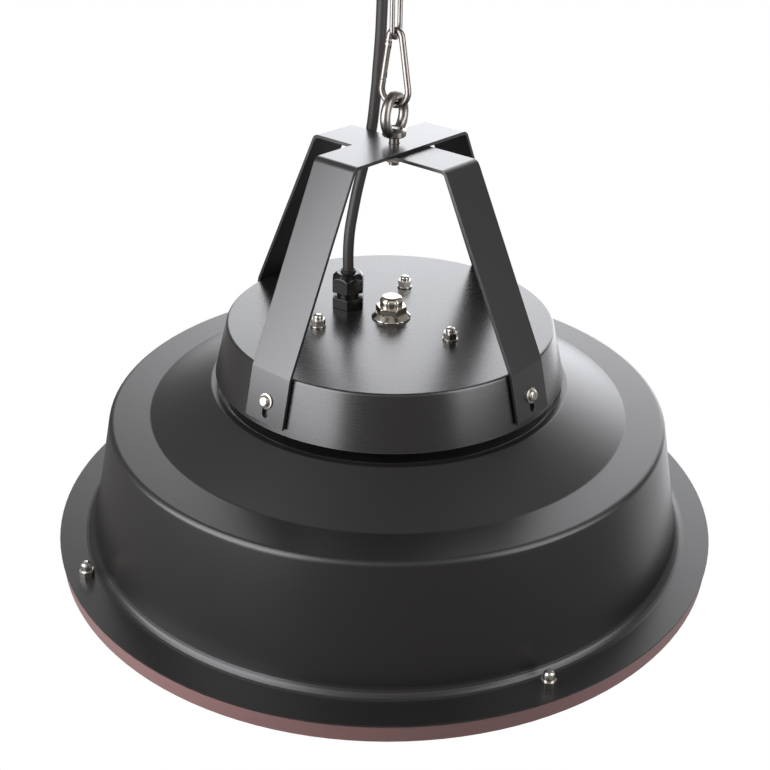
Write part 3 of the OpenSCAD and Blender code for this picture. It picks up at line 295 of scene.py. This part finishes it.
class Finish(Graph):
    """A material under construction: its shader, the point that it is at, and its relief."""

    def __init__(self, name):
        self.material = bpy.data.materials.new(name)
        self.material.use_nodes = True
        super().__init__(self.material.node_tree)
        self.shader = found(self.tree, "BSDF_PRINCIPLED")
        self.at = self.add("ShaderNodeTexCoord").out("Object")
        split = self.add("ShaderNodeSeparateXYZ", sockets={0: self.at})
        self.x, self.y, self.z = (split.out(k) for k in range(3))
        self.relief = None

    def vector(self, x, y, z):
        return self.add("ShaderNodeCombineXYZ", sockets={0: x, 1: y, 2: z})

    def noise(self, scale, detail=2.0, rough=0.5, at=None):
        return self.add("ShaderNodeTexNoise",
            sockets={"Vector": at or self.at, "Scale": scale, "Detail": detail, "Roughness": rough})

    def round_the_axis(self):
        """Where a point lies for lines that run round the Z axis."""
        r = (self.x * self.x + self.y * self.y).power(0.5)
        return self.vector(self.x / r * LINES_ALONG, self.y / r * LINES_ALONG,
            (r - self.z * LINES_DOWN) * LINES_ACROSS)

    def stretched(self, by):
        """Where a point lies for lines along the axis that has the smallest number in by."""
        return self.vector(self.x * by[0], self.y * by[1], self.z * by[2])

    def mix(self, factor, a, b):
        return self.add("ShaderNodeMix", {"data_type": "RGBA"},
            {MIX_FACTOR: factor, MIX_A: a, MIX_B: b}).out(MIX_RESULT)

    def bump(self, height, depth):
        """Adds relief to what is there."""
        below = {"Normal": self.relief} if self.relief else {}
        self.relief = self.add("ShaderNodeBump", sockets={"Height": height, "Distance": depth, **below})

    def done(self, sockets):
        for key, x in sockets.items():
            self.fill(self.shader.inputs[key], x)
        if self.relief:
            self.fill(self.shader.inputs["Normal"], self.relief)
        return self.material


def shade(colour, share):
    return tuple(c * share for c in colour)


PAINT_GRAIN_DEPTH = 0.0000015
METAL_LINES = (1400.0, 1400.0, 112.0)
METAL_LINE_DEPTH, METAL_PIT_DEPTH = 0.000006, 0.00001


def lined_paint(name, colour, rough, line_depth, specular, stretch=None):
    """Paint over sheet with fine lines: round the axis as spun, or along a bar where stretch says how."""
    p = Finish(name)
    streak = p.noise(scale=1.0, detail=3.0, rough=0.6, at=p.stretched(stretch) if stretch else p.round_the_axis())
    grain = p.noise(scale=2600.0, detail=1.0)
    cloud = p.noise(scale=14.0)
    p.bump(streak, line_depth)
    p.bump(grain, PAINT_GRAIN_DEPTH)
    tone = (cloud.swing(0.35) + streak.swing(0.4) + 0.5).clamped()
    return p.done({
        "Base Color": p.mix(tone, shade(colour, 0.8), shade(colour, 1.25)),
        "Roughness": rough + streak.swing(0.06) + cloud.swing(0.04),
        "Specular IOR Level": specular})


def metal(name, colour, rough, scratch):
    """Bare metal with fine lines up and down, spots and pits."""
    p = Finish(name)
    spots = p.noise(scale=160.0, detail=3.0, rough=0.6)
    lines = p.noise(scale=1.0, rough=0.6, at=p.stretched(METAL_LINES))
    pits = p.noise(scale=900.0)
    p.bump(lines, METAL_LINE_DEPTH)
    p.bump(pits, METAL_PIT_DEPTH)
    return p.done({
        "Base Color": p.mix(spots.step(0.3, 0.75), shade(colour, 0.86), colour),
        "Metallic": 1.0,
        "Roughness": rough + spots.swing(scratch * 2) + lines.swing(scratch)})


def moulded(name, colour, rough, grain=1800.0, depth=0.00001):
    """Plastic, rubber or ceramic with a fine grain."""
    p = Finish(name)
    fine = p.noise(scale=grain)
    cloud = p.noise(scale=60.0)
    p.bump(fine, depth)
    return p.done({
        "Base Color": p.mix(cloud, shade(colour, 0.85), shade(colour, 1.15)),
        "Roughness": rough + cloud.swing(0.12)})


def lamp_glass(name):
    """Ruby-coated quartz: its haze varies its colour, gloss and clearness."""
    p = Finish(name)
    haze = p.noise(scale=220.0)
    return p.done({
        "Base Color": p.mix(haze, (0.62, 0.30, 0.16), (0.80, 0.50, 0.34)),
        "Roughness": 0.04 + haze * 0.05,
        "Transmission Weight": 0.8,
        "Alpha": 0.55 + haze * 0.1,
        "IOR": 1.46})


BLACK = (0.0088, 0.0078, 0.0075)
STRAP_BLACK = (0.0140, 0.0131, 0.0134)
ALONG_X, ALONG_Y = (50, 1800, 50), (1800, 50, 50)
materials = {
    "black_paint": lined_paint("black_paint", BLACK, 0.36, 0.000003, 0.75),
    "housing": lined_paint("housing_paint", BLACK, 0.27, 0.0000018, 1.0),
    "strap_x": lined_paint("strap_paint_x", STRAP_BLACK, 0.29, 0.000003, 1.0, ALONG_X),
    "strap_y": lined_paint("strap_paint_y", STRAP_BLACK, 0.29, 0.000003, 1.0, ALONG_Y),
    # The rim band's warm brown-pink colour is a painted reflection of warm surroundings on a satin steel ring, not
    # the ring's own colour
    "band_paint": lined_paint("band_paint", (0.27, 0.150, 0.143), 0.36, 0.000004, 0.5),
    "bright_steel": metal("bright_steel", (0.80, 0.74, 0.65), 0.19, 0.05),
    "wire_steel": metal("wire_steel", (0.30, 0.275, 0.255), 0.30, 0.06),
    "plated_steel": metal("plated_steel", (0.62, 0.59, 0.54), 0.24, 0.08),
    "black_plastic": moulded("black_plastic", (0.006, 0.0058, 0.0055), 0.2, depth=0.000003),
    "seal_rubber": moulded("seal_rubber", (0.01, 0.01, 0.01), 0.6),
    "cable_jacket": moulded("cable_jacket", (0.024, 0.019, 0.018), 0.5, 900.0),
    "core_jacket": moulded("core_jacket", (0.22, 0.09, 0.03), 0.4),
    "lead_sleeve": moulded("lead_sleeve", (0.75, 0.74, 0.70), 0.7, 1400.0, 0.00006),
    "block_plastic": moulded("block_plastic", (0.70, 0.68, 0.62), 0.5),
    "brass": metal("brass", (0.80, 0.58, 0.26), 0.26, 0.1),
    "reflector_metal": metal("reflector_metal", (0.86, 0.86, 0.85), 0.2, 0.06),
    "lamp_glass": lamp_glass("lamp_glass"),
    "lamp_wire": metal("lamp_wire", (0.42, 0.38, 0.34), 0.4, 0.1),
    "ceramic": moulded("ceramic", (0.82, 0.80, 0.75), 0.6, 700.0, 0.00004),
}
# Pieces whose finish is a variant of their slot's
OWN_FINISH = {"strap_upper": "strap_x", "strap_lower": "strap_y", "top_housing": "housing"}
OWN_FINISH.update({wire: "wire_steel" for wire in
    ("ceiling_hook", "chain_link", "snap_hook", "hook_gate", "gate_pin", "eye_bolt")})
slot_of = {s["node"]: s["material_slot"] for s in frame["record"]["subparts"]}
for name, piece in nodes.items():
    piece.data.materials.clear()
    piece.data.materials.append(materials[OWN_FINISH.get(name, slot_of[name])])
for cable in cables:
    cable.data.materials.append(materials["cable_jacket"])


# Straps, nuts, washers and the gland: the frame's own solids with their edges broken by a small round
MERGE_WITHIN = 0.000001
SAME_FACE = math.radians(0.6)
SHARP_FROM = math.radians(34)
EDGE_SEGMENTS = 3


class RepeatTree(Graph):
    """A geometry tree with named inputs."""

    def __init__(self, name, inputs):
        super().__init__(bpy.data.node_groups.new(name, "GeometryNodeTree"))
        self.ids = {}
        for title, kind in inputs.items():
            socket = self.tree.interface.new_socket(title, in_out="INPUT", socket_type=kind)
            self.ids[title] = socket.identifier
        self.tree.interface.new_socket("Geometry", in_out="OUTPUT", socket_type="NodeSocketGeometry")
        self.given = self.add("NodeGroupInput")


def make_circle_tree():
    """Repeats a fastener round the heater's axis, Count times, and gives the copies their finish."""
    g = RepeatTree("fasteners_in_a_circle", {
        "Geometry": "NodeSocketGeometry", "Count": "NodeSocketInt", "Finish": "NodeSocketMaterial"})
    count = g.given.out("Count")
    places = g.add("GeometryNodePoints", sockets={"Count": count})
    turn = g.add("GeometryNodeInputIndex") * (2 * math.pi / count)
    rotation = g.add("ShaderNodeCombineXYZ", sockets={"Z": turn})
    copies = g.add("GeometryNodeInstanceOnPoints",
        sockets={"Points": places, "Instance": g.given.out("Geometry"), "Rotation": rotation})
    solid = g.add("GeometryNodeRealizeInstances", sockets={"Geometry": copies})
    finished = g.add("GeometryNodeSetMaterial",
        sockets={"Geometry": solid, "Material": g.given.out("Finish")})
    g.add("NodeGroupOutput", sockets={"Geometry": finished})
    return g


def keep_first(bm, first_turn, count):
    """Keeps the solids that lie nearest to the first place of the circle."""
    todo, kept = set(bm.verts), set()
    while todo:
        solid, reached = set(), [next(iter(todo))]
        while reached:
            v = reached.pop()
            if v not in solid:
                solid.add(v)
                reached += [e.other_vert(v) for e in v.link_edges]
        todo -= solid
        middle = sum((v.co for v in solid), Vector()) / len(solid)
        off = (math.degrees(math.atan2(middle.y, middle.x)) - first_turn + 180) % 360 - 180
        if abs(off) < 180 / count:
            kept |= solid
    bmesh.ops.delete(bm, geom=[v for v in bm.verts if v not in kept], context="VERTS")


def softened(node, edge, count, first_turn):
    bm = bmesh.new()
    bm.from_mesh(nodes[node].data)
    bmesh.ops.remove_doubles(bm, verts=bm.verts, dist=MERGE_WITHIN)
    if count > 1:
        keep_first(bm, first_turn, count)
    bmesh.ops.dissolve_limit(bm, angle_limit=SAME_FACE, verts=bm.verts, edges=bm.edges)
    finish = nodes[node].data.materials[0]
    piece = mesh_object(node + "_soft", bm)
    piece.data.shade_smooth()
    piece.data.materials.append(finish)
    bevel = piece.modifiers.new("edges", "BEVEL")
    bevel.width, bevel.segments = edge, EDGE_SEGMENTS
    bevel.limit_method, bevel.angle_limit = "ANGLE", SHARP_FROM
    bevel.use_clamp_overlap = False
    flats = piece.modifiers.new("flats", "WEIGHTED_NORMAL")
    flats.mode, flats.weight, flats.keep_sharp = "FACE_AREA", 100, True
    if count > 1:
        circle = piece.modifiers.new("circle", "NODES")
        circle.node_group = circle_tree.tree
        circle[circle_tree.ids["Count"]] = count
        circle[circle_tree.ids["Finish"]] = finish
    bpy.context.view_layer.update()
    made = bpy.data.meshes.new_from_object(piece.evaluated_get(bpy.context.evaluated_depsgraph_get()))
    piece.modifiers.clear()
    piece.data = made
    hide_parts(node)
    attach(piece, nodes[node]["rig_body"])


circle_tree = make_circle_tree()
# Node, the round on its edges, how many there are round the axis, and the first one's angle in degrees
for node, edge, count, first_turn in (
        ("strap_upper", 0.00025, 1, 0),
        ("strap_lower", 0.00025, 1, 0),
        ("center_nut", 0.0003, 1, 0),
        ("center_washer", 0.00025, 1, 0),
        ("gland_nut", 0.0004, 1, 0),
        ("gland_body", 0.0003, 1, 0),
        ("tie_nuts", 0.00018, 3, 30),
        ("tie_washers", 0.00018, 3, 30),
        ("rim_nuts", 0.0002, 4, 66.7),
        ("foot_screws", 0.00018, 4, 0)):
    softened(node, edge, count, first_turn)


# Studio: a pale floor far below, a white surround for the camera, a bright backdrop behind the heater and a
# tall soft box to each side of the camera
COOL_WHITE, WARM_WHITE, WHITE = (0.95, 0.962, 1.0), (1.0, 0.94, 0.90), (1, 1, 1)
WHITE_IN_GLOSS = 0.12
# Where the room is bright: degrees round from straight behind the heater, and the height of a direction, each from
# where it begins to rise to where it has fallen
BACKDROP_ROUND, BACKDROP_UP = (-32, -2, 28, 48), (-0.7, 0.1, 0.44, 0.72)
LOW_RIGHT_ROUND, LOW_RIGHT_UP = (12, 32, 60, 80), (-0.62, -0.45, -0.15, 0.1)
CEILING_DEEP, CEILING_UP = (-0.7, -0.3), (0.4, 0.65, 0.9, 1.0)
GROUND_UP = (-0.95, -0.6)
BACKDROP_LIGHT, LOW_RIGHT_LIGHT, CEILING_LIGHT, GROUND_LIGHT, ROOM_LIGHT = 4.35, 1.0, 0.5, 0.4, 0.14
FLOOR_RADIUS, FLOOR_Z, FLOOR_GREY = 3.0, -2.2, (0.6, 0.6, 0.6)
BACK = Vector((math.sin(YAW - CAMERA_TURN), math.cos(YAW - CAMERA_TURN), 0))
SIDE = Vector((BACK.y, -BACK.x, 0))
# Soft box, its degrees from the backdrop to the right, distance, width, lowest and highest z, and brightness
SOFT_BOXES = (
    ("left_box", -128, 0.46, 0.46, -0.335, 0.30, 5.1),
    ("right_box", 124, 0.46, 0.28, -0.295, 0.34, 3.6))


def seen_white(graph):
    """1 for what the camera sees directly or through glass, and a share of it for what shines in paint."""
    path = graph.add("ShaderNodeLightPath")
    camera, gloss, through = (path.out(k) for k in ("Is Camera Ray", "Is Glossy Ray", "Is Transmission Ray"))
    return (camera + through + gloss * WHITE_IN_GLOSS).clamped()


def make_world():
    """Room and backdrop by direction: deep runs away from the camera, wide to the right, and z up."""
    world = bpy.data.worlds.new("studio")
    scene.world = world
    world.use_nodes = True
    g = Graph(world.node_tree)
    white = found(g.tree, "BACKGROUND")
    g.fill(white.inputs["Color"], WHITE)
    g.fill(white.inputs["Strength"], 1.0)
    split = g.add("ShaderNodeSeparateXYZ", sockets={0: g.add("ShaderNodeTexCoord").out("Generated")})
    x, y, z = (split.out(k) for k in range(3))
    deep = x * BACK.x + y * BACK.y
    wide = x * SIDE.x + y * SIDE.y
    around = wide.angle_from(deep)
    backdrop = around.window(*BACKDROP_ROUND) * z.window(*BACKDROP_UP)
    low_right = around.window(*LOW_RIGHT_ROUND) * z.window(*LOW_RIGHT_UP)
    ceiling = deep.step(*CEILING_DEEP, 1.0, 0.0) * z.window(*CEILING_UP)
    ground = z.step(*GROUND_UP, 1.0, 0.0)
    room = g.add("ShaderNodeBackground", sockets={"Color": WARM_WHITE,
        "Strength": ceiling * CEILING_LIGHT + ground * GROUND_LIGHT + ROOM_LIGHT})
    glow = g.add("ShaderNodeBackground", sockets={"Color": COOL_WHITE,
        "Strength": backdrop * BACKDROP_LIGHT + low_right * LOW_RIGHT_LIGHT})
    lit = g.add("ShaderNodeAddShader", sockets={0: room, 1: glow})
    both = g.add("ShaderNodeMixShader", sockets={0: seen_white(g), 1: lit, 2: Value(g, white.outputs[0])})
    g.fill(found(g.tree, "OUTPUT_WORLD").inputs["Surface"], both)


def make_floor():
    bm = bmesh.new()
    bmesh.ops.create_circle(bm, cap_ends=True, segments=64, radius=FLOOR_RADIUS)
    bmesh.ops.translate(bm, verts=bm.verts, vec=(0, 0, FLOOR_Z))
    floor = mesh_object("floor", bm)
    material = bpy.data.materials.new("floor")
    material.use_nodes = True
    g = Graph(material.node_tree)
    shader = found(g.tree, "BSDF_PRINCIPLED")
    g.fill(shader.inputs["Base Color"], FLOOR_GREY)
    g.fill(shader.inputs["Roughness"], 0.9)
    white = g.add("ShaderNodeEmission", sockets={"Strength": 1.0})
    both = g.add("ShaderNodeMixShader", sockets={0: seen_white(g), 1: Value(g, shader.outputs[0]), 2: white})
    g.fill(found(g.tree, "OUTPUT_MATERIAL").inputs["Surface"], both)
    floor.data.materials.append(material)


def make_soft_boxes():
    for name, turn, distance, width, low, high, radiance in SOFT_BOXES:
        light = bpy.data.lights.new(name, "AREA")
        light.shape = "RECTANGLE"
        light.size, light.size_y = width, high - low
        light.color = COOL_WHITE
        light.energy = radiance * math.pi * width * (high - low)
        box = bpy.data.objects.new(name, light)
        way = BACK * math.cos(math.radians(turn)) + SIDE * math.sin(math.radians(turn))
        box.location = way * distance + Vector((0, 0, (low + high) / 2))
        box.rotation_mode = "QUATERNION"
        box.rotation_quaternion = (-way).to_track_quat("-Z", "Y")
        scene.collection.objects.link(box)


make_world()
make_floor()
make_soft_boxes()
scene.view_settings.view_transform = "Standard"
